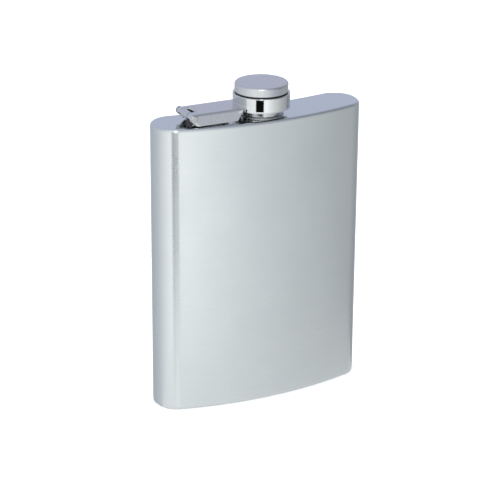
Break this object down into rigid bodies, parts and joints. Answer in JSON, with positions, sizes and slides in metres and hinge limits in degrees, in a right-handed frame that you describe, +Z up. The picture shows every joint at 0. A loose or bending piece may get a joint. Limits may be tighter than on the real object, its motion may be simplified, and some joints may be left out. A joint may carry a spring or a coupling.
{
  "type": "hip flask",
  "caption": "Curved stainless steel hip flask with a threaded neck and a screw cap held by a hinged arm.",
  "frame": {"origin": "on the flat underside, straight below the axis of the neck", "axes": "+Z up along the neck's axis, +X towards the side away from the cap's hinge, -Y out of the bowed front"},
  "size_m": [0.0948, 0.0263, 0.1386],
  "materials": {
    "brushed_steel": "satin, brushed across the flask",
    "polished_steel": "polished stainless steel",
    "weld_steel": "dressed weld metal",
    "black_plastic": "moulded, matt",
    "seal_rubber": "smooth food-grade rubber"
  },
  "bodies": {
    "flask": {"body_shell": "brushed_steel", "side_seam_weld": "weld_steel", "top_plate": "brushed_steel", "base_plate": "brushed_steel", "neck": "polished_steel", "neck_weld": "weld_steel", "hinge_leaf": "polished_steel", "leaf_welds": "weld_steel"},
    "arm": {"cap_arm": "polished_steel", "hinge_pin": "polished_steel"},
    "clip": {"retaining_clip": "polished_steel"},
    "cap": {"cap_head": "polished_steel", "cap_core": "black_plastic", "cap_gasket": "seal_rubber", "slip_washer": "black_plastic"}
  },
  "joints": [
    {"name": "arm_hinge", "type": "hinge", "parent": "flask", "child": "arm", "pos_m": [-0.034, 0, 0.1289], "axis": [0, -1, 0], "range_deg": [0, 180]},
    {"name": "cap_rise", "type": "slide", "parent": "arm", "child": "clip", "axis": [0, 0, 1], "range_m": [0, 0.0035]},
    {"name": "cap_turn", "type": "hinge", "parent": "clip", "child": "cap", "pos_m": [0, 0, 0.1352], "axis": [0, 0, 1], "range_deg": [0, 500]}
  ],
  "couplings": [
    {"joint": "cap_rise", "follows": "cap_turn", "m_per_rad": 0.00039789}
  ]
}
